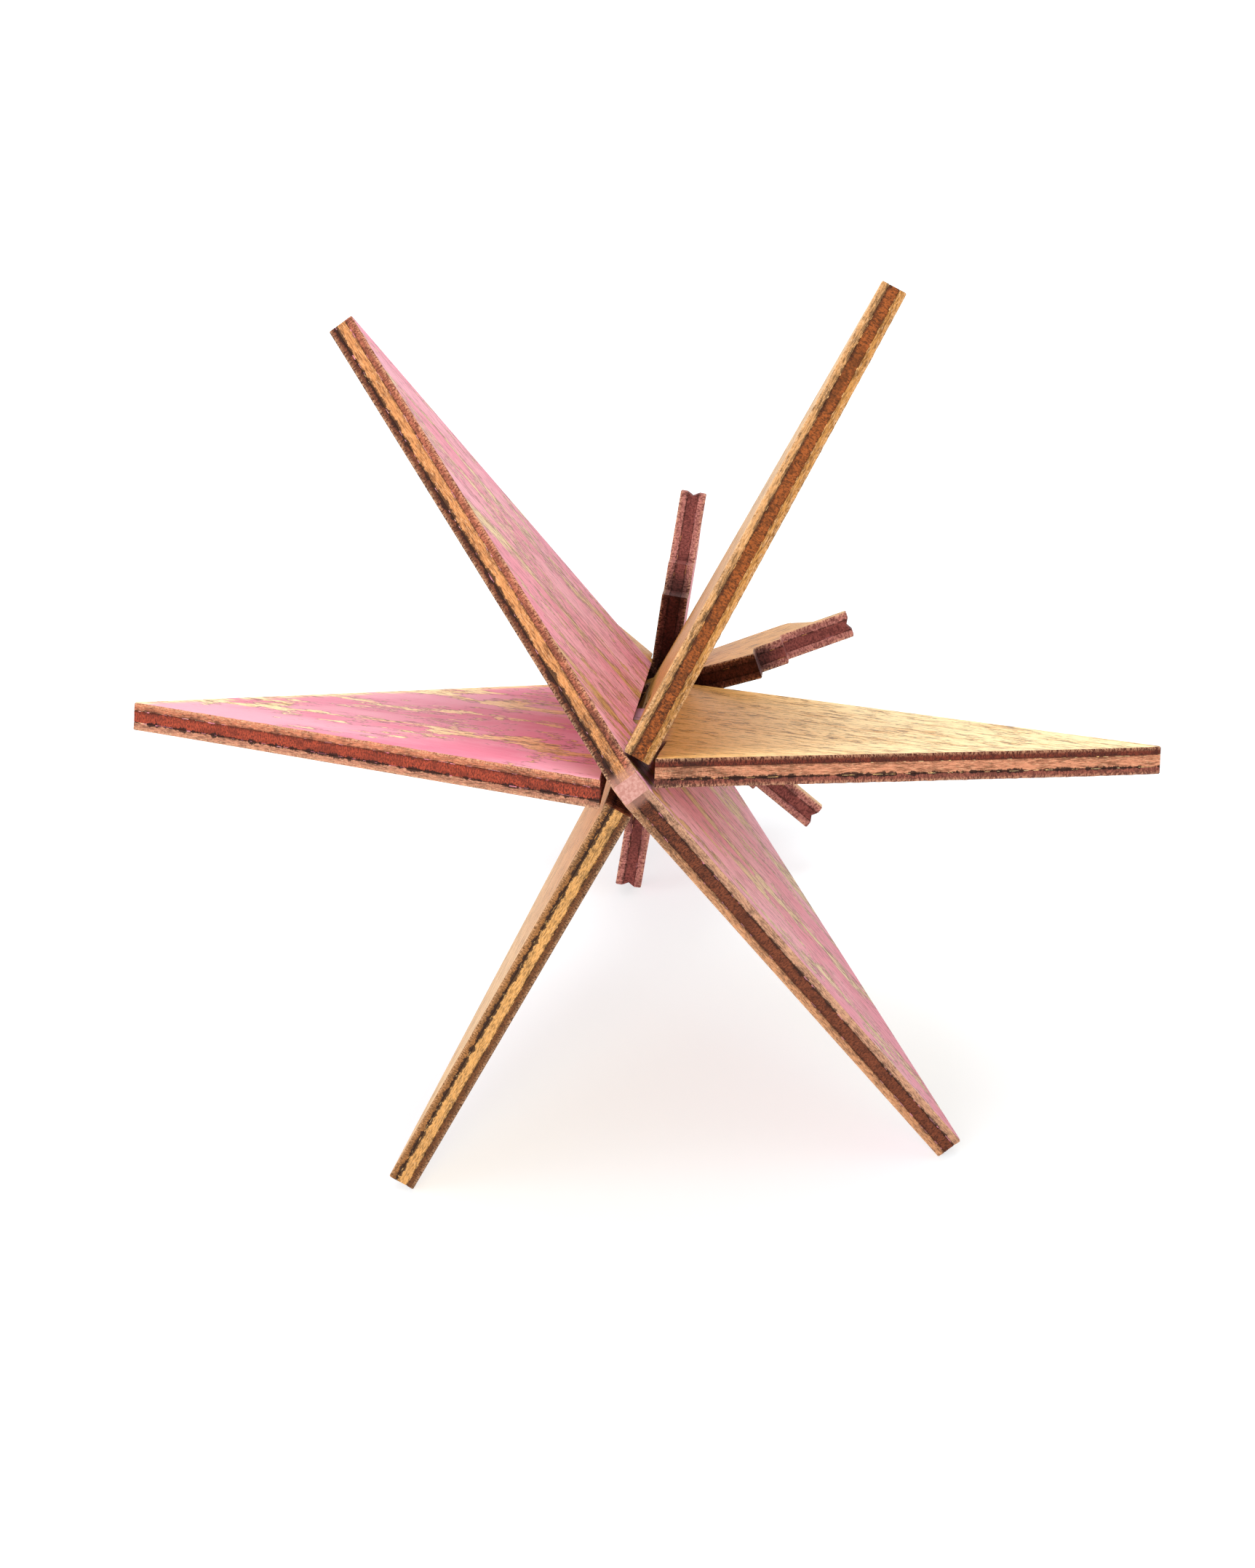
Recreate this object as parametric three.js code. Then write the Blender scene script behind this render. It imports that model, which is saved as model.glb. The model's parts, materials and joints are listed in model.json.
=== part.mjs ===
// A six-pointed star of three crossing square plates, seated point down in the
// cradle of a small three-plate stand. The whole rests on its side, on two star
// tips and one stand tip, as it is shown. Millimetres, +Z up.
import * as THREE from 'three';

// ---- driving dimensions -------------------------------------------------
const THICKNESS = 3;            // every plate is three-ply board of this thickness
const STAR_SIDE = 80;           // side of each square star plate
const CORNER_FLAT = 1.1;        // half length of the flat on the front and rear corners
const TIP_FLAT = 0.4;           // half length of the flat on the side tips
const SLOT_CLEARANCE = 0.33;    // play on each side of a plate in a slot
const SEAT_GAP = 0.3;           // play between two slot floors

const CRADLE_GAP = 1.2;         // along the axis, between the star's corner and the cradle's
const CRADLE_FLOOR = 1.5;       // half width of the flat at the bottom of the cradle
const LIP_RADIUS = 12.3;        // outer end of the cradle's slope
const LIP_HEIGHT = 8;           // length of the wall behind the lip
const SHOULDER_RADIUS = 15.5;   // outer end of the first shoulder
const SHOULDER_HEIGHT = 5.6;    // length of the wall behind the shoulder
const WING_RADIUS = 23.5;       // the stand's tips
const WING_SLOPE = 0.8;         // how far the wing falls back from its root to its tip
const WING_THICKNESS = 3;       // of the wing, along the axis
const WAIST_RADIUS = 19.5;      // where the wing's rear meets the body
const BASE_RADIUS = 16.6;       // half width of the flat foot
const BASE_ROUND = 1.9;         // radius of the foot's corners
const ROUND_STEPS = 3;          // straight edges in each of those corners
const STAND_DEPTH = 17.2;       // from the cradle's corner to the foot

// directions of the plates about the star's axis, seen from the front, in degrees
const STAR_ANGLES = { front: 126.4, middle: -2.3, rear: 61.3 };
const STAND_ANGLES = { front: 19.4, middle: -39.7, rear: 80.6 };

const HALF_DIAGONAL = STAR_SIDE / Math.SQRT2;
const STAR_LENGTH = 2 * HALF_DIAGONAL;
const STAR_THIRD = STAR_LENGTH / 3;
const CRADLE_CORNER = STAR_LENGTH + CRADLE_GAP;
const FOOT = CRADLE_CORNER + STAND_DEPTH;
const STAND_THIRD = (STAND_DEPTH + CRADLE_FLOOR) / 3;

// where the stand's profile steps, as depths along the axis
const LIP = CRADLE_CORNER - LIP_RADIUS;
const SHOULDER = LIP + LIP_HEIGHT;
const WING = SHOULDER + SHOULDER_HEIGHT;
const WING_TIP = WING + WING_SLOPE;
const WING_REAR = WING_TIP + WING_THICKNESS;

// ---- slots --------------------------------------------------------------
// Half the width that a slot needs for plates crossing it at the given directions.
function slotHalf(own, crossing) {
  const needs = crossing.map((other) => {
    const turn = Math.abs(own - other) % 180;
    const acute = THREE.MathUtils.degToRad(Math.min(turn, 180 - turn));
    return THICKNESS / 2 / Math.tan(acute / 2);
  });
  return Math.max(...needs) + SLOT_CLEARANCE;
}

// Slots of the three plates of a star: the front plate is whole at the front, the rear
// plate at the rear and the middle one in the middle third. Depths are along the axis.
function slotPlan(angles, firstFloor, secondFloor) {
  const half = SEAT_GAP / 2;
  return {
    front: {
      rear: { half: slotHalf(angles.front, [angles.middle, angles.rear]), floor: firstFloor - half },
    },
    middle: {
      front: { half: slotHalf(angles.middle, [angles.front]), floor: firstFloor + half },
      rear: { half: slotHalf(angles.middle, [angles.rear]), floor: secondFloor - half },
    },
    rear: {
      front: { half: slotHalf(angles.rear, [angles.front, angles.middle]), floor: secondFloor + half },
    },
  };
}

// ---- outlines, drawn in the plate's plane: x along the blade, y along the axis -------
// The right half of an outline, from the front to the rear, gives the whole one.
function mirrored(rightHalf) {
  const left = rightHalf.map(([x, y]) => [-x, y]).reverse();
  return new THREE.Shape([...rightHalf, ...left].map(([x, y]) => new THREE.Vector2(x, y)));
}

function starOutline(slots) {
  const tip = HALF_DIAGONAL - TIP_FLAT;
  const front = slots.front
    ? [[slots.front.half, slots.front.floor], [slots.front.half, slots.front.half]]
    : [[CORNER_FLAT, CORNER_FLAT]];
  const rear = slots.rear
    ? [[slots.rear.half, STAR_LENGTH - slots.rear.half], [slots.rear.half, slots.rear.floor]]
    : [[CORNER_FLAT, STAR_LENGTH - CORNER_FLAT]];
  return mirrored([
    ...front,
    [tip, HALF_DIAGONAL - TIP_FLAT],
    [tip, HALF_DIAGONAL + TIP_FLAT],
    ...rear,
  ]);
}

function standOutline(slots) {
  const front = slots.front
    ? [[slots.front.half, slots.front.floor], [slots.front.half, CRADLE_CORNER - slots.front.half]]
    : [[CRADLE_FLOOR, CRADLE_CORNER - CRADLE_FLOOR]];
  const rear = slots.rear
    ? [[slots.rear.half, FOOT], [slots.rear.half, slots.rear.floor]]
    : [];
  const foot = [];
  for (let step = 0; step <= ROUND_STEPS; step += 1) {
    const angle = (step / ROUND_STEPS) * (Math.PI / 2);
    foot.push([
      BASE_RADIUS - BASE_ROUND * (1 - Math.cos(angle)),
      FOOT - BASE_ROUND * (1 - Math.sin(angle)),
    ]);
  }
  return mirrored([
    ...front,
    [LIP_RADIUS, LIP],
    [LIP_RADIUS, SHOULDER],
    [SHOULDER_RADIUS, SHOULDER],
    [SHOULDER_RADIUS, WING],
    [WING_RADIUS, WING_TIP],
    [WING_RADIUS, WING_REAR],
    [WAIST_RADIUS, WING_REAR],
    ...foot,
    ...rear,
  ]);
}

// ---- pieces -------------------------------------------------------------
function material(colour, roughness) {
  return new THREE.MeshStandardMaterial({ color: colour, roughness, metalness: 0 });
}

// A plate of the outline, centred on its own plane and turned about the star's axis.
function plate(name, outline, angle, look) {
  const geometry = new THREE.ExtrudeGeometry(outline, { depth: THICKNESS, bevelEnabled: false });
  geometry.translate(0, 0, -THICKNESS / 2);
  const mesh = new THREE.Mesh(geometry, look);
  mesh.name = name;
  mesh.rotation.y = -THREE.MathUtils.degToRad(angle);
  return mesh;
}

const pinkMarble = material(0xd98a9c, 0.6);
const rosePaint = material(0xc97f74, 0.6);
const goldPaint = material(0xc79a52, 0.5);
const dustyRed = material(0x7d4540, 0.65);

const starSlots = slotPlan(STAR_ANGLES, STAR_THIRD, 2 * STAR_THIRD);
const standFloor = CRADLE_CORNER - CRADLE_FLOOR;
const standSlots = slotPlan(STAND_ANGLES, standFloor + STAND_THIRD, standFloor + 2 * STAND_THIRD);

const starLooks = { front: pinkMarble, middle: rosePaint, rear: goldPaint };
const assembly = new THREE.Group();
for (const place of ['front', 'middle', 'rear']) {
  assembly.add(plate(
    `star_${place}_plate`, starOutline(starSlots[place]), STAR_ANGLES[place], starLooks[place],
  ));
  assembly.add(plate(
    `stand_${place}_plate`, standOutline(standSlots[place]), STAND_ANGLES[place], dustyRed,
  ));
}

// ---- resting pose -------------------------------------------------------
// The lower corner of a blade's tip, in the star's frame.
function tipCorner(angle, radius, depth) {
  const turn = THREE.MathUtils.degToRad(angle);
  const side = Math.cos(turn) > 0 ? -1 : 1;
  const along = new THREE.Vector3(Math.cos(turn), 0, Math.sin(turn)).multiplyScalar(radius);
  const across = new THREE.Vector3(-Math.sin(turn), 0, Math.cos(turn));
  return along.addScaledVector(across, side * THICKNESS / 2).setY(depth);
}

const starTip = HALF_DIAGONAL - TIP_FLAT;
const leftTip = tipCorner(STAR_ANGLES.rear + 180, starTip, HALF_DIAGONAL + TIP_FLAT);
const rightTip = tipCorner(STAR_ANGLES.front + 180, starTip, HALF_DIAGONAL + TIP_FLAT);
const standTip = tipCorner(STAND_ANGLES.rear + 180, WING_RADIUS, WING_REAR);

const up = new THREE.Vector3()
  .crossVectors(rightTip.clone().sub(leftTip), standTip.clone().sub(leftTip))
  .normalize();
const axis = new THREE.Vector3(0, 1, 0);
const ahead = axis.clone().addScaledVector(up, -axis.dot(up)).normalize();
const right = new THREE.Vector3().crossVectors(ahead, up);
const toWorld = new THREE.Matrix4().makeBasis(right, ahead, up).transpose();
assembly.quaternion.setFromRotationMatrix(toWorld);
assembly.updateMatrixWorld(true);

// The object's box is centred on the origin and stands on z = 0.
const box = new THREE.Box3().setFromObject(assembly, true);
const middle = box.getCenter(new THREE.Vector3());
assembly.position.set(-middle.x, -middle.y, -box.min.z);

const group = new THREE.Group();
group.add(assembly);
export default group;
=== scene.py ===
"""A star of three slotted plywood plates, seated in the cradle of its small stand.

Every plate is cut from three-ply board. The plates' faces carry a pink and gold
marbled coat, and their cut edges show the plies, with glue lines darkened by the cutting.
Painted shade darkens the cut edges and the gold towards the axis, where the plates cross,
and a painted highlight lightens the cut edges next to each face.
"""

import json
import math

import bmesh
import bpy
from bpy.props import FloatProperty, FloatVectorProperty, IntProperty, PointerProperty
from mathutils import Matrix, Vector


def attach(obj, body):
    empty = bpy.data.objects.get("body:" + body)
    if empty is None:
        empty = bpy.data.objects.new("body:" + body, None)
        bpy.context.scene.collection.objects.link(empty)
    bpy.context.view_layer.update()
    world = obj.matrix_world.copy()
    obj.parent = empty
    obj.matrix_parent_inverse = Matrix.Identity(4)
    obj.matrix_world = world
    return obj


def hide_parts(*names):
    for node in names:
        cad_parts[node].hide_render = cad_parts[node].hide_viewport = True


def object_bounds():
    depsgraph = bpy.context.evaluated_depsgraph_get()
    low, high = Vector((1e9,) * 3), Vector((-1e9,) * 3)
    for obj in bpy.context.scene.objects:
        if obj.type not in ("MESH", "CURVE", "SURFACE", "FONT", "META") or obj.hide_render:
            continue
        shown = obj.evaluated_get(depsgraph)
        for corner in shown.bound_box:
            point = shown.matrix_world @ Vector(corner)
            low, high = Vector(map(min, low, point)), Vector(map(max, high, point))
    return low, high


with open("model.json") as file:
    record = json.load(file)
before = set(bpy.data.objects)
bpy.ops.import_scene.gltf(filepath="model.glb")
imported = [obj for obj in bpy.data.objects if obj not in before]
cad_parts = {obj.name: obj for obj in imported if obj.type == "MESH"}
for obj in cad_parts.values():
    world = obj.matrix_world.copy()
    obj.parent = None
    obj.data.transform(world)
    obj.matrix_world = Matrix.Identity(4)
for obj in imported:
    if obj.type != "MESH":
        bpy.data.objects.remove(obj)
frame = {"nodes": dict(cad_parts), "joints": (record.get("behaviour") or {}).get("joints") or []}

bl_info = {
    "name": "Slotted plate star",
    "version": (1, 0, 0),
    "blender": (4, 5, 0),
    "location": "View3D > Sidebar > Plate star",
    "description": "Builds a star of crossing plywood plates in the cradle of its stand",
    "category": "Add Mesh",
}

MM = 0.001
CAD_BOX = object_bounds()
BOARD_PLACE = "board_place"


# ---- where the plates lie ------------------------------------------------------------
def joint(name):
    """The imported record's joint of that name."""
    return next(row for row in frame["joints"] if row["name"] == name)


AXIS = -Vector(joint("star_front_slide")["axis"]).normalized()
CRADLE = Vector(joint("stand_turn")["pos_m"])


class PlatePlace:
    """A CAD plate's own axes, blade, depth and across, and how far it reaches along them."""

    def __init__(self, node, towards):
        mesh = frame["nodes"][node].data
        broad = max(mesh.polygons, key=lambda face: face.area).normal
        blade = AXIS.cross(broad).normalized()
        if blade.dot(Vector(towards)) < 0:
            blade.negate()
        across = blade.cross(AXIS).normalized()
        points = [corner.co - CRADLE for corner in mesh.vertices]
        self.reach = max(point.dot(blade) for point in points)
        self.thickness = 2 * max(point.dot(across) for point in points)
        tips = [point.dot(AXIS) for point in points if point.dot(blade) > self.reach - 0.05 * MM]
        self.tip_depth = (max(tips) + min(tips)) / 2
        self.last_depth = max(point.dot(AXIS) for point in points)
        self.turn = Matrix((blade, AXIS, across)).transposed()

    def matrix(self, depth):
        """Carries the plate's own frame, with its origin at that depth on the axis, to its place."""
        return Matrix.Translation(CRADLE + AXIS * depth) @ self.turn.to_4x4()


STAR_PLACES = {
    "front": PlatePlace("star_front_plate", (-1, 0, 1)),
    "middle": PlatePlace("star_middle_plate", (1, 0, 0)),
    "rear": PlatePlace("star_rear_plate", (1, 0, 1)),
}
STAND_PLACES = {
    "front": PlatePlace("stand_front_plate", (1, 0, 0)),
    "middle": PlatePlace("stand_middle_plate", (1, 0, -1)),
    "rear": PlatePlace("stand_rear_plate", (0, 0, 1)),
}
THICKNESS = STAR_PLACES["front"].thickness
TIP_FLAT = 0.4 * MM
CRADLE_FLOOR = 1.5 * MM
HALF_DIAGONAL = STAR_PLACES["front"].reach + TIP_FLAT
APEX_DEPTH = STAR_PLACES["front"].tip_depth - HALF_DIAGONAL
STAND_DEPTH = STAND_PLACES["front"].last_depth


def srgb(text):
    """A colour written as six hex digits, as linear numbers."""
    parts = [int(text[start:start + 2], 16) / 255 for start in (0, 2, 4)]
    return tuple(((part + 0.055) / 1.055) ** 2.4 if part > 0.04 else part / 12.92 for part in parts)


# ---- what a user may change ----------------------------------------------------------
class StarSizes(bpy.types.PropertyGroup):
    side: FloatProperty(
        name="Side", description="Side of each square star plate",
        default=HALF_DIAGONAL * math.sqrt(2), min=0.02, unit="LENGTH",
    )
    thickness: FloatProperty(
        name="Thickness", description="Thickness of the three-ply board",
        default=THICKNESS, min=0.001, unit="LENGTH",
    )
    corner_flat: FloatProperty(
        name="Corner flat", description="Half length of the flat on the front and rear corners",
        default=1.1 * MM, min=0, unit="LENGTH",
    )
    edge_step: FloatProperty(
        name="Edge step", description="Length of the straight bits that a cut edge is made of",
        default=0.6 * MM, min=0.0001, unit="LENGTH",
    )


class StandSizes(bpy.types.PropertyGroup):
    lip_radius: FloatProperty(
        name="Lip radius", description="Outer end of the cradle's slope",
        default=12.3 * MM, unit="LENGTH",
    )
    lip_height: FloatProperty(
        name="Lip height", description="Length of the wall behind the lip",
        default=8 * MM, unit="LENGTH",
    )
    shoulder_radius: FloatProperty(
        name="Shoulder radius", description="Outer end of the first shoulder",
        default=15.5 * MM, unit="LENGTH",
    )
    shoulder_height: FloatProperty(
        name="Shoulder height", description="Length of the wall behind the shoulder",
        default=5.6 * MM, unit="LENGTH",
    )
    wing_slope: FloatProperty(
        name="Wing slope", description="How far the wing falls back from its root to its tip",
        default=0.8 * MM, unit="LENGTH",
    )
    wing_thickness: FloatProperty(
        name="Wing thickness", description="Thickness of the wing along the axis",
        default=3 * MM, unit="LENGTH",
    )
    waist_radius: FloatProperty(
        name="Waist radius", description="Where the wing's rear meets the body",
        default=19.5 * MM, unit="LENGTH",
    )
    base_radius: FloatProperty(
        name="Base radius", description="Half width of the flat foot",
        default=16.6 * MM, unit="LENGTH",
    )
    base_round: FloatProperty(
        name="Base round", description="Radius of the foot's corners",
        default=1.9 * MM, unit="LENGTH",
    )
    cradle_floor: FloatProperty(
        name="Cradle floor", description="Half width of the flat at the bottom of the cradle",
        default=CRADLE_FLOOR, unit="LENGTH",
    )


class BoardSizes(bpy.types.PropertyGroup):
    core: FloatProperty(
        name="Core", description="Half thickness of the middle ply",
        default=0.64 * MM, unit="LENGTH",
    )
    glue: FloatProperty(
        name="Glue line", description="Half width of the groove along each glue line",
        default=0.05 * MM, unit="LENGTH",
    )
    glue_depth: FloatProperty(
        name="Groove depth", description="How far the glue lines are burnt back",
        default=0.07 * MM, unit="LENGTH",
    )
    arris: FloatProperty(
        name="Arris", description="Width of the worn edge between a face and a cut edge",
        default=0.11 * MM, unit="LENGTH",
    )
    wear: FloatProperty(
        name="Unevenness", description="How much the cut edges waver",
        default=0.13 * MM, unit="LENGTH",
    )
    tip_notch: FloatProperty(
        name="Tip notch", description="How far the core is burnt back on the stand's tips",
        default=0.42 * MM, unit="LENGTH",
    )


class Finish(bpy.types.PropertyGroup):
    pink: FloatVectorProperty(
        name="Pink", description="The coat's pink", subtype="COLOR",
        default=srgb("d97c92"), min=0, max=1,
    )
    pale_pink: FloatVectorProperty(
        name="Pale pink", description="The coat's pink where it is thin", subtype="COLOR",
        default=srgb("e3a3b2"), min=0, max=1,
    )
    gold: FloatVectorProperty(
        name="Gold", description="The metallic veins", subtype="COLOR",
        default=srgb("d8a052"), min=0, max=1,
    )
    pale_gold: FloatVectorProperty(
        name="Pale gold", description="The brightest of the gold", subtype="COLOR",
        default=srgb("fde3aa"), min=0, max=1,
    )
    pore: FloatVectorProperty(
        name="Pores", description="The wood's open pores, seen through the coat", subtype="COLOR",
        default=srgb("4a2a18"), min=0, max=1,
    )
    # The richer gold where it lies thick, also painted as shade on the gold towards the axis.
    rich_and_shaded_gold: FloatVectorProperty(
        name="Rich gold", description="The gold where it lies thick", subtype="COLOR",
        default=srgb("dea04a"), min=0, max=1,
    )
    olive: FloatVectorProperty(
        name="Olive", description="The gold where the coat is thin", subtype="COLOR",
        default=srgb("967056"), min=0, max=1,
    )
    seed: IntProperty(
        name="Seed", description="Shifts the marbling", default=0, min=0,
    )


class Stage(bpy.types.PropertyGroup):
    lens: FloatProperty(
        name="Lens", description="Focal length of the camera",
        default=168.15, min=1, subtype="DISTANCE_CAMERA", unit="CAMERA",
    )
    floor_size: FloatProperty(
        name="Floor", description="Side of the plain floor", default=8, unit="LENGTH",
    )
    floor_tone: FloatVectorProperty(
        name="Floor colour", description="The plain floor's colour", subtype="COLOR",
        default=(0.42, 0.46, 0.48), min=0, max=1,
    )
    floor_glow: FloatProperty(
        name="Floor glow", description="Light that the floor gives of itself", default=0.6, min=0,
    )
    surround: FloatProperty(
        name="Surround", description="Strength of the even light from all round", default=0.72, min=0,
    )


# ---- shader maths --------------------------------------------------------------------
class Signal:
    """A node's output, which adds, multiplies and so on as a number does."""

    def __init__(self, shade, socket):
        self.shade = shade
        self.socket = socket

    def _maths(self, operation, *values):
        return self.shade.node("ShaderNodeMath", {"operation": operation}, dict(enumerate(values)))

    def __add__(self, other):
        return self._maths("ADD", self, other)

    __radd__ = __add__

    def __sub__(self, other):
        return self._maths("SUBTRACT", self, other)

    def __rsub__(self, other):
        return self._maths("SUBTRACT", other, self)

    def __mul__(self, other):
        return self._maths("MULTIPLY", self, other)

    __rmul__ = __mul__

    def __truediv__(self, other):
        return self._maths("DIVIDE", self, other)

    def __abs__(self):
        return self._maths("ABSOLUTE", self)

    def least(self, other):
        return self._maths("MINIMUM", self, other)

    def most(self, other):
        return self._maths("MAXIMUM", self, other)

    def rise(self, low, high):
        """0 below low and 1 above high, with a smooth step between."""
        return self.shade.node(
            "ShaderNodeMapRange",
            {"interpolation_type": "SMOOTHSTEP"},
            {"Value": self, "From Min": low, "From Max": high},
        )

    def fall(self, low, high):
        """1 below low and 0 above high, with a smooth step between."""
        return 1 - self.rise(low, high)


class Shade:
    """A material's node tree."""

    def __init__(self, name):
        self.material = bpy.data.materials.new(name)
        self.material.use_nodes = True
        self.tree = self.material.node_tree
        self.tree.nodes.clear()

    def node(self, kind, settings=None, inputs=None, output=0):
        """Adds a node. Its settings come first, then the values or links of its sockets."""
        made = self.tree.nodes.new(kind)
        for name, value in (settings or {}).items():
            setattr(made, name, value)
        for name, value in (inputs or {}).items():
            if isinstance(value, Signal):
                self.tree.links.new(value.socket, made.inputs[name])
            else:
                made.inputs[name].default_value = value
        return Signal(self, made.outputs[output]) if made.outputs else None

    def place(self):
        """The point's place on its board in millimetres: along the blade, in depth and in thickness."""
        return self.node("ShaderNodeAttribute", {"attribute_name": BOARD_PLACE}, output="Vector")

    def turned(self, vector, angle, scale=(1, 1, 1), shift=(0, 0, 0)):
        """A vector turned about the plate's own normal, then stretched."""
        flat = self.node(
            "ShaderNodeMapping", {"vector_type": "POINT"},
            {"Vector": vector, "Rotation": (0, 0, angle)},
        )
        return self.node(
            "ShaderNodeMapping", {"vector_type": "POINT"},
            {"Vector": flat, "Scale": scale, "Location": shift},
        )

    def split(self, vector):
        """The three parts of a vector."""
        first = self.node("ShaderNodeSeparateXYZ", None, {"Vector": vector})
        return [Signal(self, socket) for socket in first.socket.node.outputs]

    def noise(self, vector, scale=1.0, detail=2.0, roughness=0.5, distortion=0.0):
        """Cloudy noise from about 0.2 to 0.8."""
        return self.node(
            "ShaderNodeTexNoise", None,
            {"Vector": vector, "Scale": scale, "Detail": detail, "Roughness": roughness,
             "Distortion": distortion},
        )

    def mix(self, share, first, second):
        """The first colour where share is 0 and the second where it is 1."""
        colours = [value if isinstance(value, Signal) else (*value, 1) for value in (first, second)]
        return self.node(
            "ShaderNodeMix", {"data_type": "RGBA"}, {0: share, 6: colours[0], 7: colours[1]}, output=2,
        )

    def finish(self, colour, roughness, height, metallic=0.0, bump=0.5, relief=0.1 * MM, shine=0.25):
        """Joins the surface together and returns the material."""
        normal = self.node(
            "ShaderNodeBump", None, {"Height": height, "Strength": bump, "Distance": relief},
        )
        surface = self.node(
            "ShaderNodeBsdfPrincipled", None,
            {"Base Color": colour, "Roughness": roughness, "Metallic": metallic, "Normal": normal,
             "Specular IOR Level": shine},
        )
        self.node("ShaderNodeOutputMaterial", None, {"Surface": surface})
        return self.material


# ---- finishes ------------------------------------------------------------------------
ALONG_RIGHT = -math.pi / 4
ALONG_LEFT = math.pi / 4
BOARD_SHINE = 0.12
# Pale fibres of the cut edges, also used for the painted highlight next to each face.
PALE_FIBRE_AND_HIGHLIGHT = srgb("e9bd92")
# Dark of the burnt glue lines, also used for the painted shade on the cut edges towards the axis.
SOOT_AND_SHADE = srgb("22100c")
DUST = srgb("a97b6c")


def coat(name, grain, seed, streams, gilded=None, dull=0.0, rich=0.0):
    """Marbled coat over wood grain.

    Streams are the gold veins that run with the grain, as (distance across the grain from the
    front corner, half width, strength). Gilded gives the share of plain gold at a place. A dull
    coat is hairy with grain, and a rich one has more of the richer gold. Towards the axis, where
    the plates cross, that richer gold is painted in as shade.
    """
    finish = bpy.context.scene.star_finish
    shade = Shade(name)
    local = shade.place()
    across, depth, _ = shade.split(local)
    shift = (seed * 17.3 + finish.seed, seed * 9.1, seed * 5.7)

    def grained(length, width, detail, roughness):
        """Noise whose marks are about that long and wide, in millimetres, along the grain."""
        stretched = shade.turned(local, grain, (1 / length, 1 / width, 1), shift)
        return shade.noise(stretched, 1.0, detail, roughness, 0.3)

    clouds = grained(28, 13, 5.0, 0.62)
    clumps = grained(9, 2.6, 4.0, 0.65)
    fibres = grained(16, 0.8, 5.0, 0.7) if dull else grained(4.5, 0.8, 6.0, 0.72)
    hairs = grained(9, 0.45, 3.0, 0.65)
    dashes = grained(2.2, 0.55, 3.0, 0.72)
    _, beside, _ = shade.split(shade.turned(local, grain))
    ragged = (clouds - 0.5) * 34 + (clumps - 0.5) * 7
    vein = 0.08 - abs(clouds - 0.5) * 30
    for middle, half, strength in streams:
        vein = vein.most(strength - abs(beside - middle + ragged) / half)
    field = vein + (fibres - 0.5) * 4.5 + (clumps - 0.5) * 2.5
    gilt = field.rise(0.0, 0.12)
    outline = field.rise(-0.3, -0.02) * field.fall(0.05, 0.3)
    if gilded:
        plain = gilded(across, depth, clumps)
        gilt = gilt.most(plain)
        outline = outline * (1 - plain)
    pores = dashes.fall(0.41, 0.47) * (clumps.fall(0.40, 0.58) * 0.5 + 0.5)
    pores = pores.most(hairs.fall(0.32, 0.40) * 0.7)
    pink = shade.mix(clouds.rise(0.35, 0.65), finish.pink, finish.pale_pink)
    pink = shade.mix(hairs.rise(0.45, 0.75) * 0.35 + dull * 0.5, pink, finish.pale_pink)
    pink = shade.mix(hairs.fall(0.34, 0.46) * (0.05 + dull * 1.6), pink, finish.olive)
    pink = shade.mix(dashes.fall(0.38, 0.45) * dull * 0.9, pink, finish.pore)
    light = (dashes * 0.3 + clumps * 0.4 + hairs * 0.3).rise(0.38, 0.54)
    gold = shade.mix(light, finish.gold, finish.pale_gold)
    # Painted shade: the gold loses its pale gold and turns richer towards the axis, where the plates cross;
    # rich adds more of it all over.
    rich_and_axis_shade = (abs(across).fall(2, 30) * 0.75 + rich).least(1.0)
    gold = shade.mix(rich_and_axis_shade, gold, finish.rich_and_shaded_gold)
    if dull:
        gold = shade.mix(dull, gold, finish.olive)
    gold = shade.mix(pores * 0.85, gold, finish.pore)
    colour = shade.mix(gilt, pink, gold)
    colour = shade.mix(outline * 0.55, colour, finish.pore)
    height = hairs * 0.4 + fibres * 0.3 + gilt * 0.6 - pores * 0.6
    return shade.finish(colour, 0.55 - gilt * 0.1, height, gilt * 0.1, 0.6, 0.12 * MM, BOARD_SHINE)


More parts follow.
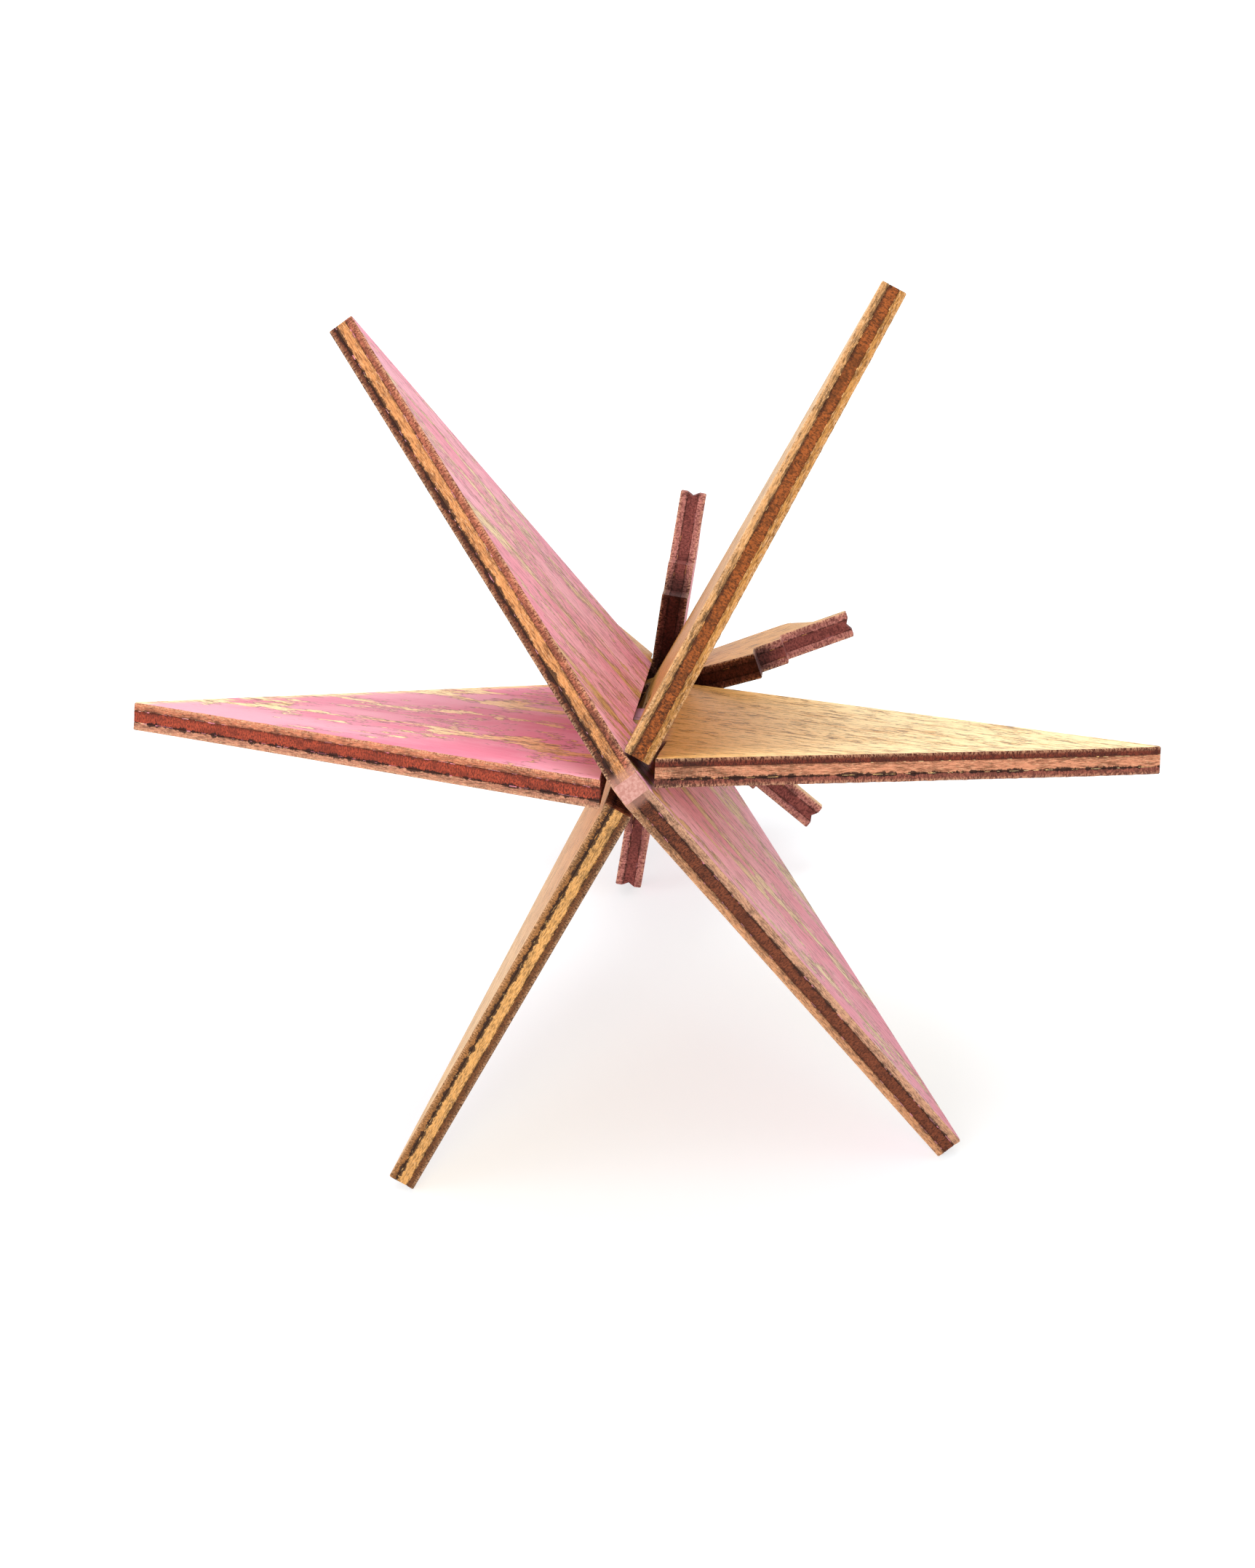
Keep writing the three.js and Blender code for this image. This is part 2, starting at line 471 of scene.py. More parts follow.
def cut_edge(name, along, plies, seed, glue_lines, axis_shade, dusty=0.0):
    """A cut edge that shows its three plies.

    Each ply has a light, a dark and whether its end grain shows. Glue lines are how burnt the
    lower and the upper one are. Axis shade is painted shade that darkens the edge towards the
    axis, where the plates cross: how far from the axis it starts to fade and has faded, its
    strength and how even it is. Dusty is how much of the corner's dust lies on the edges next
    to it. A painted highlight lightens the edge next to each face.
    """
    board = bpy.context.scene.board_sizes
    shade = Shade(name)
    local = shade.place()
    across, depth, level = shade.split(local)
    shift = (seed * 13.7, seed * 7.9, seed * 3.1)
    streaks = shade.noise(shade.turned(local, along, (0.9, 1.0, 9.0), shift), 1.0, 4.0, 0.62, 0.2)
    dashes = shade.noise(shade.turned(local, along, (1.5, 1.0, 14.0), shift), 1.0, 2.0, 0.5)
    specks = shade.noise(shade.turned(local, along, (5.2, 1.0, 3.4), shift), 1.0, 4.0, 0.7)
    drift = shade.noise(shade.turned(local, along, (0.25, 0.3, 0.7), shift), 1.0, 4.0, 0.65)
    gaps = shade.noise(shade.turned(local, along, (0.45, 1.0, 0.15), shift), 1.0, 5.0, 0.78)
    wavering = level + (specks - 0.5) * 0.30 + (drift - 0.5) * 0.16
    core = board.core / MM
    blur = 0.05
    tones = []
    for light, dark, end_grain in plies:
        if end_grain:
            tone = shade.mix(specks.rise(0.36, 0.62), dark, light)
            tone = shade.mix(drift.fall(0.36, 0.52) * 0.55, tone, dark)
        else:
            tone = shade.mix((streaks * 0.7 + drift * 0.3).rise(0.38, 0.58), dark, light)
            tone = shade.mix(dashes.rise(0.58, 0.68) * 0.4, tone, PALE_FIBRE_AND_HIGHLIGHT)
            tone = shade.mix(dashes.fall(0.30, 0.40) * 0.5, tone, dark)
        tones.append(tone)
    lower, middle, upper = tones
    colour = shade.mix(wavering.rise(-core - blur, -core + blur), lower, middle)
    colour = shade.mix(wavering.rise(core - blur, core + blur), colour, upper)
    glue = 0
    for side, strength in zip((-1, 1), glue_lines):
        burnt = (gaps + side * 0.03 - 0.47 + strength * 0.07) * 1.5
        line = (burnt - abs(wavering - side * core)).rise(-0.09, 0.06) * strength
        glue = line + glue
    # Painted shade: the cut edge darkens towards the axis, where the plates cross and shade each other.
    near, far, strength, even = axis_shade
    mottle = (specks * 0.6 + drift * 0.4).fall(0.42, 0.60) * (1 - even) + even
    painted_axis_shade = abs(across).fall(near, far) * mottle * strength
    colour = shade.mix(glue.least(0.9), colour, SOOT_AND_SHADE)
    colour = shade.mix(painted_axis_shade, colour, SOOT_AND_SHADE)
    # Painted highlight: the cut edge is lighter next to each face, where the arris catches the light.
    worn_and_highlit = abs(level).rise(1.0, 1.5) * specks.rise(0.42, 0.6) * 0.4
    colour = shade.mix(worn_and_highlit, colour, PALE_FIBRE_AND_HIGHLIGHT)
    colour = shade.mix(depth.fall(1.4, 2.4) * dusty, colour, DUST)
    height = specks * 0.7 + streaks * 0.4 - glue * 0.5
    return shade.finish(colour, 0.7, height, 0.0, 0.7, 0.14 * MM, BOARD_SHINE)


def corner_tint(name, light, dark):
    """The dusty flat where a corner was cut off."""
    shade = Shade(name)
    spots = shade.noise(shade.place(), 2.6, 4.0, 0.65)
    colour = shade.mix(spots.rise(0.38, 0.62), dark, light)
    return shade.finish(colour, 0.75, spots, 0.0, 0.6)


# ---- modelling -----------------------------------------------------------------------
def open_mesh():
    """The mesh being edited."""
    return bmesh.from_edit_mesh(bpy.context.edit_object.data)


def pick(kind, test):
    """Selects the vertices, edges or faces that pass a test, and nothing else."""
    bpy.ops.mesh.select_all(action="DESELECT")
    bpy.ops.mesh.select_mode(type=kind)
    mesh = open_mesh()
    items = {"VERT": mesh.verts, "EDGE": mesh.edges, "FACE": mesh.faces}[kind]
    for item in items:
        if test(item):
            item.select_set(True)
    mesh.select_flush_mode()
    bmesh.update_edit_mesh(bpy.context.edit_object.data)


def cut(point, normal, clear=False, where=None):
    """Cuts the mesh along a plane, or only the faces that pass the where test.

    With clear, what lies on the normal's side goes.
    """
    if where is None:
        bpy.ops.mesh.select_all(action="SELECT")
    else:
        pick("FACE", where)
    bpy.ops.mesh.bisect(
        plane_co=point, plane_no=Vector(normal).normalized(), clear_outer=clear, threshold=1e-7,
    )


def drop(test):
    """Removes the faces whose middle passes a test."""
    pick("FACE", lambda face: test(face.calc_center_median()))
    bpy.ops.mesh.delete(type="FACE")


def start_plate(name, size, scale, place, angle):
    """A flat plate to cut from, as a new object that is being edited."""
    bpy.ops.object.select_all(action="DESELECT")
    bpy.ops.mesh.primitive_plane_add(size=size, location=place, rotation=(0, 0, angle))
    plate = bpy.context.object
    plate.name = name
    plate.data.name = name
    plate.scale = scale
    bpy.ops.object.transform_apply(location=True, rotation=True, scale=True)
    bpy.ops.object.mode_set(mode="EDIT")
    return plate


def join_faces():
    """Leaves the flat plate as one face, without what the cuts left inside it."""
    bpy.ops.mesh.select_all(action="SELECT")
    bpy.ops.mesh.dissolve_limited(angle_limit=math.radians(0.5))


def divide_outline(step):
    """Makes the flat plate's outline of bits no longer than step."""
    bpy.ops.mesh.select_all(action="SELECT")
    bpy.ops.mesh.delete(type="ONLY_FACE")

    def cuts(edge):
        return max(0, math.ceil(0.999 * edge.calc_length() / step) - 1)

    most = max(cuts(edge) for edge in open_mesh().edges)
    while most:
        pick("EDGE", lambda edge: cuts(edge) == most)
        bpy.ops.mesh.subdivide(number_cuts=most)
        most = max(cuts(edge) for edge in open_mesh().edges)
    bpy.ops.mesh.select_all(action="SELECT")
    bpy.ops.mesh.edge_face_add()


def thicken(thickness, first, last):
    """Gives the flat plate its thickness and grooves its rim where the plies meet.

    The grooves run between the first and the last depth.
    """
    board = bpy.context.scene.board_sizes
    bpy.ops.mesh.select_all(action="SELECT")
    bpy.ops.mesh.extrude_region_move(TRANSFORM_OT_translate={"value": (0, 0, thickness)})
    bpy.ops.mesh.select_all(action="SELECT")
    bpy.ops.mesh.normals_make_consistent(inside=False)
    bpy.ops.transform.translate(value=(0, 0, -thickness / 2))
    pick("EDGE", is_arris)
    bpy.ops.mesh.bevel(offset=board.arris, segments=1, affect="EDGES")
    for middle in (-board.core, board.core):
        for level in (middle - board.glue, middle, middle + board.glue):
            cut((0, 0, level), (0, 0, 1))
    cut((0, 0, 0), (0, 0, 1))
    pick("VERT", lambda point: abs(abs(point.co.z) - board.core) < 1e-6 and first < point.co.y < last)
    bpy.ops.transform.shrink_fatten(value=-board.glue_depth, use_even_offset=True)
    bpy.ops.mesh.select_all(action="SELECT")
    bpy.ops.mesh.dissolve_degenerate(threshold=0.004 * MM)
    bpy.ops.object.mode_set(mode="OBJECT")


def note_places(plate):
    """Keeps each point's place on the flat board, which the finishes follow wherever it bends."""
    kept = plate.data.attributes.new(BOARD_PLACE, "FLOAT_VECTOR", "POINT")
    for vertex, value in zip(plate.data.vertices, kept.data):
        value.vector = vertex.co / MM


def is_arris(edge):
    """Whether a face and a cut edge meet here."""
    sides = [abs(face.normal.z) for face in edge.link_faces]
    return len(sides) == 2 and max(sides) > 0.9 and min(sides) < 0.1


def push(plate, group, direction, strength, texture=None, mid_level=0.0):
    """Moves a weighted group of points, evenly or by a texture, and applies it."""
    bpy.ops.object.modifier_add(type="DISPLACE")
    modifier = plate.modifiers[-1]
    modifier.vertex_group = group.name
    modifier.direction = direction
    modifier.strength = strength
    modifier.mid_level = mid_level
    modifier.texture = texture
    modifier.texture_coords = "LOCAL"
    bpy.ops.object.modifier_apply(modifier=modifier.name)


def weigh(plate, name, weight):
    """A vertex group whose weights come from each point's place."""
    group = plate.vertex_groups.new(name=name)
    for vertex in plate.data.vertices:
        share = weight(vertex.co)
        if share > 0:
            group.add([vertex.index], min(share, 1.0), "REPLACE")
    return group


def wear_rim(plate, thickness):
    """Lets the cut edges waver as a scorched cut through wood does."""
    board = bpy.context.scene.board_sizes
    clouds = bpy.data.textures.new(f"{plate.name}_wear", "CLOUDS")
    clouds.noise_scale = 0.9 * MM
    clouds.noise_depth = 2
    inner = thickness / 2 - 0.02 * MM
    rim = weigh(plate, "rim", lambda point: 1.0 if abs(point.z) < inner else 0.0)
    push(plate, rim, "NORMAL", board.wear, clouds, 0.5)


def settle(plate, place, depth, materials, choose):
    """Gives each face the material that is chosen for its normal, then puts the plate in its place."""
    bpy.ops.object.select_all(action="DESELECT")
    plate.select_set(True)
    bpy.context.view_layer.objects.active = plate
    for material in materials:
        plate.data.materials.append(material)
    for face in plate.data.polygons:
        face.material_index = choose(face.normal)
    bpy.ops.object.shade_smooth_by_angle(angle=math.radians(30))
    plate.vertex_groups.clear()
    plate.matrix_world = place.matrix(depth)
    bpy.ops.object.transform_apply(location=True, rotation=True, scale=True)


# ---- the star ------------------------------------------------------------------------
STAR_THIRD = 2 * HALF_DIAGONAL / 3
SEAT = 0.15 * MM
WIDE_SLOT = 3.45 * MM
CRUSHED_SLOT = 3.22 * MM
NARROW_SLOT = 2.75 * MM
NECK = 15 * MM
BENDING_LINES = (0.0, 0.12, 0.26, 0.42, 0.65)

# For each plate: its front and rear slot as (floor, half width), the half widths of the front
# slot's mouth on the right and left, how far the front prongs there have sprung, and how far
# the front slot's right wall is crushed back at its floor.
STAR_CUTS = {
    "front": {
        "front_slot": None,
        "rear_slot": (STAR_THIRD - SEAT, WIDE_SLOT),
    },
    "middle": {
        "front_slot": (STAR_THIRD + SEAT, CRUSHED_SLOT),
        "rear_slot": (2 * STAR_THIRD - SEAT, NARROW_SLOT),
        "mouths": (2.35 * MM, 3.2 * MM),
        "leans": (1.65 * MM, -1.0 * MM),
        "crushed": 0.65 * MM,
    },
    "rear": {
        "front_slot": (2 * STAR_THIRD + SEAT, NARROW_SLOT),
        "rear_slot": None,
        "mouths": (2.87 * MM, 2.75 * MM),
        "leans": (1.0 * MM, 0.0),
    },
}


def cut_star_slots(cuts):
    """Opens the plate's slots. The front slot is as wide as its mouth down to the neck."""
    if cuts["front_slot"]:
        floor, half = cuts["front_slot"]
        right, left = cuts["mouths"]

        def wall(middle):
            mouth = right if middle.x > 0 else left
            return mouth + (half - mouth) * max(0, (middle.y - NECK) / (floor - NECK))

        cut((0, floor, 0), (0, 1, 0))
        cut((0, NECK, 0), (0, 1, 0))
        for side, mouth in ((1, right), (-1, left)):
            cut((side * mouth, 0, 0), (side, 0, 0))
            cut((side * mouth, NECK, 0), (side * (floor - NECK), mouth - half, 0))
        drop(lambda middle: middle.y < floor and abs(middle.x) < wall(middle))
    if cuts["rear_slot"]:
        floor, half = cuts["rear_slot"]
        cut((0, floor, 0), (0, 1, 0))
        for side in (1, -1):
            cut((side * half, 0, 0), (side, 0, 0))
        drop(lambda middle: middle.y > floor and abs(middle.x) < half)


def crush_wall(plate, cuts, thickness):
    """Slants the front slot's right wall behind the neck, where the crossing plate has crushed it."""
    floor, half = cuts["front_slot"]

    def share(point):
        if not 2 * MM < point.x < half + 0.2 * MM or point.y > floor + 0.1 * MM:
            return 0.0
        return max(0, (point.y - NECK) / (floor - NECK)) * (0.5 + point.z / thickness)

    push(plate, weigh(plate, "wall", share), "X", -cuts["crushed"])


def lean_prongs(plate, cuts, half_diagonal):
    """Springs the front prongs sideways. Each bends along the line from slot floor to tip."""
    floor = cuts["front_slot"][0]
    pitch = (half_diagonal - floor) / half_diagonal

    def share(point):
        return (floor + abs(point.x) * pitch - point.y) / floor

    bpy.ops.object.mode_set(mode="EDIT")
    cut((0, 0, 0), (1, 0, 0))
    for side in (1, -1):
        for line in BENDING_LINES:
            cut(
                (0, floor * (1 - line), 0), (side * pitch, -1, 0),
                where=lambda face: face.calc_center_median().x * side > 0,
            )
    bpy.ops.object.mode_set(mode="OBJECT")
    for side, lean in zip((1, -1), cuts["leans"]):
        if lean:
            group = weigh(
                plate, f"prong_{side}",
                lambda point: bend(share(point)) if point.x * side > 0 else 0.0,
            )
            push(plate, group, "Z", lean)


def bend(share):
    """How far a prong has sprung, from 0 at its bending line to 1 at its inner end."""
    if share <= 0:
        return 0.0
    return 1.08 * share * share / (share + 0.08)


def build_star_plate(where):
    """Models one star plate in its own frame and leaves it there, as the active object."""
    sizes = bpy.context.scene.star_sizes
    cuts = STAR_CUTS[where]
    half_diagonal = sizes.side / math.sqrt(2)
    length = 2 * half_diagonal
    name = f"star_{where}_board"
    plate = start_plate(name, sizes.side, (1, 1, 1), (0, half_diagonal, 0), math.pi / 4)
    for side in (1, -1):
        cut((side * (half_diagonal - TIP_FLAT), 0, 0), (side, 0, 0), clear=True)
    cut((0, sizes.corner_flat, 0), (0, -1, 0), clear=True)
    cut((0, length - sizes.corner_flat, 0), (0, 1, 0), clear=True)
    cut_star_slots(cuts)
    join_faces()
    divide_outline(sizes.edge_step)
    thicken(sizes.thickness, 2 * sizes.corner_flat, length - 2 * sizes.corner_flat)
    note_places(plate)
    if cuts["front_slot"]:
        if "crushed" in cuts:
            crush_wall(plate, cuts, sizes.thickness)
        lean_prongs(plate, cuts, half_diagonal)
    wear_rim(plate, sizes.thickness)
    return plate


def gilded_right(across, depth, clumps):
    """Plain gold on the right half and along the left half's rear edge."""
    rear = (HALF_DIAGONAL / MM * 2 - depth + across).fall(1, 5)
    return across.rise(0.5, 3.5).most(rear * clumps.rise(0.35, 0.5))


def gilded_all(across, depth, clumps):
    """Plain gold all over."""
    return clumps.rise(0.0, 0.1)


# For each plate and half: the light, the dark and whether end grain shows, ply by ply from below.
PLIES = {
    ("front", "right"): (
        (srgb("a86048"), srgb("5c3022"), True),
        (srgb("c28350"), srgb("764a2c"), False),
        (srgb("723e29"), srgb("402014"), True),
    ),
    ("front", "left"): (
        (srgb("c48f70"), srgb("785442"), False),
        (srgb("7d4128"), srgb("452012"), True),
        (srgb("c6895f"), srgb("785038"), False),
    ),
    ("middle", "right"): (
        (srgb("985544"), srgb("552d24"), True),
        (srgb("d08a68"), srgb("805038"), False),
        (srgb("783524"), srgb("431b12"), True),
    ),
    ("middle", "left"): (
        (srgb("b2765c"), srgb("6a4434"), False),
        (srgb("9e412a"), srgb("561f14"), True),
        (srgb("b86e50"), srgb("6a3c2a"), False),
    ),
    ("rear", "right"): (
        (srgb("b67f42"), srgb("6a4420"), False),
        (srgb("964f22"), srgb("4c280f"), True),
        (srgb("c28e5a"), srgb("705030"), False),
    ),
    ("rear", "left"): (
        (srgb("784826"), srgb("3e2412"), True),
        (srgb("d79c5a"), srgb("805c32"), False),
        (srgb("a46c3a"), srgb("5c3c1e"), True),
    ),
}

# How burnt each glue line is, the lower one first.
GLUE_LINES = {
    ("front", "right"): (0.45, 0.85),
    ("front", "left"): (0.75, 0.4),
    ("middle", "right"): (1.0, 0.35),
    ("middle", "left"): (1.0, 0.5),
    ("rear", "right"): (0.3, 0.6),
    ("rear", "left"): (0.5, 1.0),
}
STAR_GRAIN = {"front": ALONG_LEFT, "middle": ALONG_LEFT, "rear": ALONG_RIGHT}
# Painted shade on the star's cut edges towards the axis: where it starts and stops fading, its strength and
# evenness.
STAR_AXIS_SHADE = (3.0, 20.0, 0.5, 0.0)
STAR_DUST = 0.55
BROAD_STREAMS = ((6, 1.5, 0.7), (19, 3, 0.8), (33, 1, 0.5), (47, 2.5, 0.7), (60, 1, 0.5), (70, 2, 0.6))
FINE_STREAMS = ((13, 1.7, 0.95), (27, 1.0, 0.75), (44, 1.9, 1.05), (62, 1.5, 0.85))

# The coat below and above each plate: its streams, what is gilded, how dull it is and how rich.
STAR_COATS = {
    "front": ((BROAD_STREAMS, None, 0.4), (FINE_STREAMS, None, 0.25)),
    "middle": ((BROAD_STREAMS, gilded_right), (FINE_STREAMS, gilded_right)),
    "rear": (((), gilded_all, 0.0, 0.2), ((), gilded_all, 0.3, 0.5)),
}

# The order of a star plate's materials.
BELOW, ABOVE, RIGHT_EDGE, LEFT_EDGE, CORNER = range(5)


def on_star(normal):
    """The material of a star plate's face, from its normal on the flat board."""
    if abs(normal.z) > 0.85:
        return ABOVE if normal.z > 0 else BELOW
    if abs(normal.x) < 0.3 and abs(normal.z) < 0.5:
        return CORNER
    return RIGHT_EDGE if normal.x * normal.y < 0 else LEFT_EDGE


class StarPlates(bpy.types.Operator):
    """Builds the three crossing star plates"""

    bl_idname = "plate_star.star_plates"
    bl_label = "Star plates"

    def execute(self, context):
        for number, (where, place) in enumerate(STAR_PLACES.items()):
            plate = build_star_plate(where)
            grain = STAR_GRAIN[where]
            below, above = STAR_COATS[where]
            materials = [
                coat(f"{where}_coat_below", grain, 2 * number + 1, *below),
                coat(f"{where}_coat_above", grain, 2 * number + 2, *above),
            ]
            for side, along, seed in (("right", ALONG_RIGHT, 3), ("left", ALONG_LEFT, 8)):
                materials.append(cut_edge(
                    f"{where}_edge_{side}", along, PLIES[where, side], number + seed,
                    GLUE_LINES[where, side], STAR_AXIS_SHADE, STAR_DUST,
                ))
            materials.append(corner_tint(f"{where}_corner", srgb("bd8d82"), srgb("a97468")))
            settle(plate, place, APEX_DEPTH, materials, on_star)
            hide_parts(f"star_{where}_plate")
            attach(plate, f"star_{where}")
        return {"FINISHED"}


# ---- the stand -----------------------------------------------------------------------
STAND_THIRD = (STAND_DEPTH + CRADLE_FLOOR) / 3
STAND_FLOORS = (STAND_THIRD - CRADLE_FLOOR, 2 * STAND_THIRD - CRADLE_FLOOR)
FRONT_JOINT = 2.975 * MM
REAR_JOINT = 2.944 * MM

# For each plate: its front and rear slot as (floor, half width).
STAND_CUTS = {
    "front": (None, (STAND_FLOORS[0] - SEAT, FRONT_JOINT)),
    "middle": ((STAND_FLOORS[0] + SEAT, FRONT_JOINT), (STAND_FLOORS[1] - SEAT, REAR_JOINT)),
    "rear": ((STAND_FLOORS[1] + SEAT, REAR_JOINT), None),
}


def cut_stand_profile(sizes, wing):
    """Cuts the pot-shaped profile, with its cradle in front, from a flat rectangle."""
    lip = -sizes.lip_radius
    shoulder = lip + sizes.lip_height
    root = shoulder + sizes.shoulder_height
    tip = root + sizes.wing_slope
    rear = tip + sizes.wing_thickness
    round_start = STAND_DEPTH - sizes.base_round
    reach = wing - sizes.shoulder_radius
    waist = sizes.waist_radius - sizes.base_radius
    for level in (-sizes.cradle_floor, shoulder, rear, round_start):
        cut((0, level, 0), (0, 1, 0))
    for side in (1, -1):
        cut((0, 0, 0), (side, 1, 0))
        for radius in (sizes.lip_radius, sizes.shoulder_radius, sizes.base_radius):
            cut((side * radius, 0, 0), (side, 0, 0))
        cut((side * sizes.shoulder_radius, root, 0), (-side * (tip - root), reach, 0))
        cut((side * sizes.base_radius, round_start, 0), (side * (round_start - rear), waist, 0))

    def outside(middle):
        radius = abs(middle.x)
        slope = root + (tip - root) * (radius - sizes.shoulder_radius) / reach
        if middle.y < -sizes.cradle_floor and middle.y < -radius:
            return True
        if middle.y < shoulder and radius > sizes.lip_radius:
            return True
        if middle.y < slope and radius > sizes.shoulder_radius:
            return True
        if middle.y > round_start:
            return radius > sizes.base_radius
        share = (middle.y - rear) / (round_start - rear)
        return middle.y > rear and radius > sizes.waist_radius - share * waist

    drop(outside)


def cut_stand_slots(front, rear):
    """Opens the plate's straight slots."""
    for slot, sign in ((front, -1), (rear, 1)):
        if slot:
            floor, half = slot
            cut((0, floor, 0), (0, 1, 0))
            for side in (1, -1):
                cut((side * half, 0, 0), (side, 0, 0))
            drop(lambda middle: (middle.y - floor) * sign > 0 and abs(middle.x) < half)


def build_stand_plate(where):
    """Models one plate of the stand in its own frame and leaves it there, as the active object."""
    sizes = bpy.context.scene.stand_sizes
    board = bpy.context.scene.board_sizes
    thickness = bpy.context.scene.star_sizes.thickness
    wing = STAND_PLACES[where].reach
    front = -sizes.lip_radius
    plate = start_plate(
        f"stand_{where}_board", 1, (2 * wing, STAND_DEPTH - front, 1), (0, (STAND_DEPTH + front) / 2, 0), 0,
    )
    cut_stand_profile(sizes, wing)
    cut_stand_slots(*STAND_CUTS[where])
    join_faces()
    corner = (sizes.base_radius - 1e-6, STAND_DEPTH - 1e-6)
    pick("VERT", lambda point: abs(point.co.x) > corner[0] and point.co.y > corner[1])
    bpy.ops.mesh.bevel(offset=sizes.base_round, segments=5, affect="VERTICES")
    divide_outline(bpy.context.scene.star_sizes.edge_step)
    thicken(thickness, front, STAND_DEPTH)
    note_places(plate)
    for side in (1, -1):

        def depth_of_notch(point):
            if point.x * side < wing - 0.2 * MM:
                return 0.0
            return max(0.0, 1 - (abs(point.z) / board.core) ** 2)

        notch = weigh(plate, f"notch_{side}", depth_of_notch)
        push(plate, notch, "X", -side * board.tip_notch)
    wear_rim(plate, thickness)
    return plate


STAND_PLIES = (
    (srgb("bf7d72"), srgb("74423c"), True),
    (srgb("8a4a43"), srgb("552825"), True),
    (srgb("bf7d72"), srgb("74423c"), True),
)
STAND_GLUE_LINES = (0.5, 0.5)
# Painted shade on the stand's inner step, which lies in the shade of the star and of the stand's fins.
STAND_AXIS_SHADE = (12.5, 15.5, 0.85, 0.8)
STAND_GRAIN = 0.2

# A stand plate's third and fourth material, after the coats below and above: a cut edge that
# faces along the axis, and one that faces away from it.
STAND_EDGE, STAND_WALL = 2, 3


def on_stand(normal):
    """The material of a stand plate's face, from its normal on the flat board."""
    if abs(normal.z) > 0.85:
        return ABOVE if normal.z > 0 else BELOW
    return STAND_WALL if abs(normal.x) > 0.8 else STAND_EDGE


class StandPlates(bpy.types.Operator):
    """Builds the three crossing plates of the stand"""

    bl_idname = "plate_star.stand_plates"
    bl_label = "Stand plates"

    def execute(self, context):
        for number, (where, place) in enumerate(STAND_PLACES.items()):
            plate = build_stand_plate(where)
            materials = [
                coat(f"stand_{where}_coat_below", STAND_GRAIN, number + 21, FINE_STREAMS, None, 0.3),
                coat(f"stand_{where}_coat_above", STAND_GRAIN, number + 31, (), gilded_all, 0.35, 0.6),
            ]
            for part, along, seed in (("edge", 0, 14), ("wall", math.pi / 2, 17)):
                materials.append(cut_edge(
                    f"stand_{where}_{part}", along, STAND_PLIES, number + seed,
                    STAND_GLUE_LINES, STAND_AXIS_SHADE,
                ))
            settle(plate, place, 0, materials, on_stand)
            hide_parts(f"stand_{where}_plate")
            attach(plate, f"stand_{where}")
        return {"FINISHED"}


# ---- stage ---------------------------------------------------------------------------
CAMERA_RIGHT = Vector((0.9972623, 0.0039472, -0.0738360))
CAMERA_ABOVE = Vector((0.0636992, 0.4612243, 0.8849944))
CAMERA_PLACE = Vector((0.0277294, -0.7248704, 0.4089559))

# The lights: name, place as seen from the middle of the object, size and power.
LIGHTS = (
    ("top_light", (0.0, 0.15, 1.1), 0.9, 11),
    ("front_light", (-0.35, -1.1, 0.55), 0.7, 6.5),
    ("left_light", (-1.0, -0.3, 0.22), 0.6, 6),
    ("side_light", (0.9, -0.5, 0.5), 0.6, 3),
)


def area_light(name, place, aim, size, power):
    """A square soft white light."""
    bpy.ops.object.select_all(action="DESELECT")
    bpy.ops.object.light_add(type="AREA", location=place)
    lamp = bpy.context.object
    lamp.name = name
    lamp.data.size = size
    lamp.data.energy = power
    lamp.rotation_euler = (aim - place).to_track_quat("-Z", "Y").to_euler()


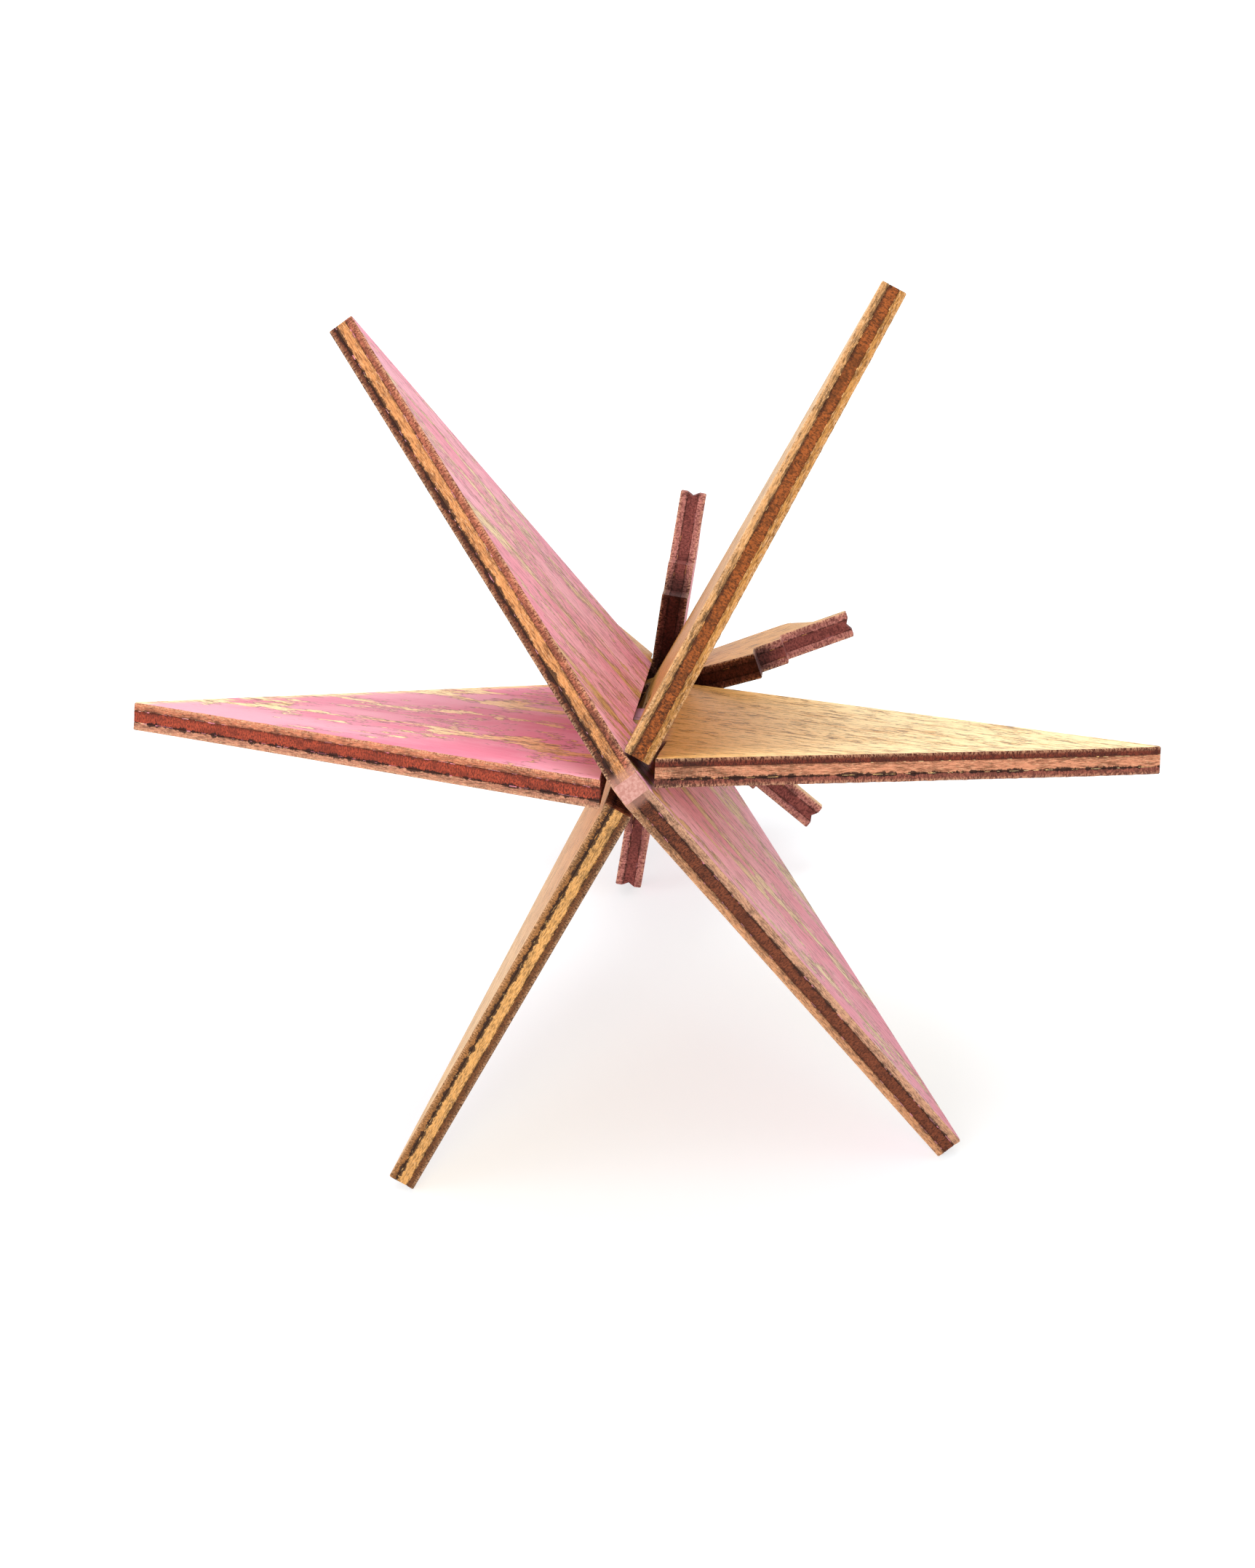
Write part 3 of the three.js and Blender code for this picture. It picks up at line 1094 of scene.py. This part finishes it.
class StageAndCamera(bpy.types.Operator):
    """Sets the camera, the soft lights, the plain floor and the even light from all round"""

    bl_idname = "plate_star.stage"
    bl_label = "Stage"

    def execute(self, context):
        settings = context.scene.star_stage
        bpy.ops.object.select_all(action="DESELECT")
        bpy.ops.object.camera_add()
        camera = context.object
        behind = CAMERA_RIGHT.cross(CAMERA_ABOVE)
        turn = Matrix((CAMERA_RIGHT, CAMERA_ABOVE, behind)).transposed()
        camera.matrix_world = Matrix.Translation(CAMERA_PLACE) @ turn.to_4x4()
        camera.data.lens = settings.lens
        camera.data.sensor_fit = "AUTO"
        camera.data.sensor_width = 36
        camera.data.clip_start = 0.01
        camera.data.clip_end = 50
        context.scene.camera = camera

        middle = (CAD_BOX[0] + CAD_BOX[1]) / 2
        for name, offset, size, power in LIGHTS:
            area_light(name, middle + Vector(offset), middle, size, power)

        floor_shade = Shade("floor_paper")
        here = floor_shade.node("ShaderNodeTexCoord", output="Object")
        tooth = floor_shade.noise(here, 600.0, 2.0, 0.5)
        paper = floor_shade.mix(tooth * 0.02, settings.floor_tone, (1, 1, 1))
        floor_shade.finish(paper, 0.9, tooth, 0.0, 0.02)
        glow = floor_shade.tree.nodes["Principled BSDF"]
        glow.inputs["Emission Color"].default_value = (1, 1, 1, 1)
        glow.inputs["Emission Strength"].default_value = settings.floor_glow
        bpy.ops.mesh.primitive_plane_add(size=settings.floor_size, location=(0, 0, 0))
        floor = context.object
        floor.name = "floor"
        floor.data.materials.append(floor_shade.material)

        world = context.scene.world or bpy.data.worlds.new("surround")
        context.scene.world = world
        world.use_nodes = True
        sky = world.node_tree.nodes["Background"]
        sky.inputs["Color"].default_value = (1, 1, 1, 1)
        sky.inputs["Strength"].default_value = settings.surround
        context.scene.view_settings.view_transform = "Standard"
        return {"FINISHED"}


class StarPanel(bpy.types.Panel):
    """Lists the pieces"""

    bl_idname = "VIEW3D_PT_plate_star"
    bl_label = "Plate star"
    bl_space_type = "VIEW_3D"
    bl_region_type = "UI"
    bl_category = "Plate star"

    def draw(self, context):
        for group in ("star_sizes", "stand_sizes", "board_sizes", "star_finish", "star_stage"):
            box = self.layout.box()
            settings = getattr(context.scene, group)
            for name in settings.__annotations__:
                box.prop(settings, name)
        for operator in (StarPlates, StandPlates, StageAndCamera):
            self.layout.operator(operator.bl_idname)


GROUPS = {
    "star_sizes": StarSizes,
    "stand_sizes": StandSizes,
    "board_sizes": BoardSizes,
    "star_finish": Finish,
    "star_stage": Stage,
}
CLASSES = (*GROUPS.values(), StarPlates, StandPlates, StageAndCamera, StarPanel)


def register():
    for cls in CLASSES:
        bpy.utils.register_class(cls)
    for name, group in GROUPS.items():
        setattr(bpy.types.Scene, name, PointerProperty(type=group))


def unregister():
    for name in GROUPS:
        delattr(bpy.types.Scene, name)
    for cls in reversed(CLASSES):
        bpy.utils.unregister_class(cls)


def main():
    register()
    bpy.ops.plate_star.star_plates()
    bpy.ops.plate_star.stand_plates()
    bpy.ops.plate_star.stage()


if __name__ == "__main__":
    main()
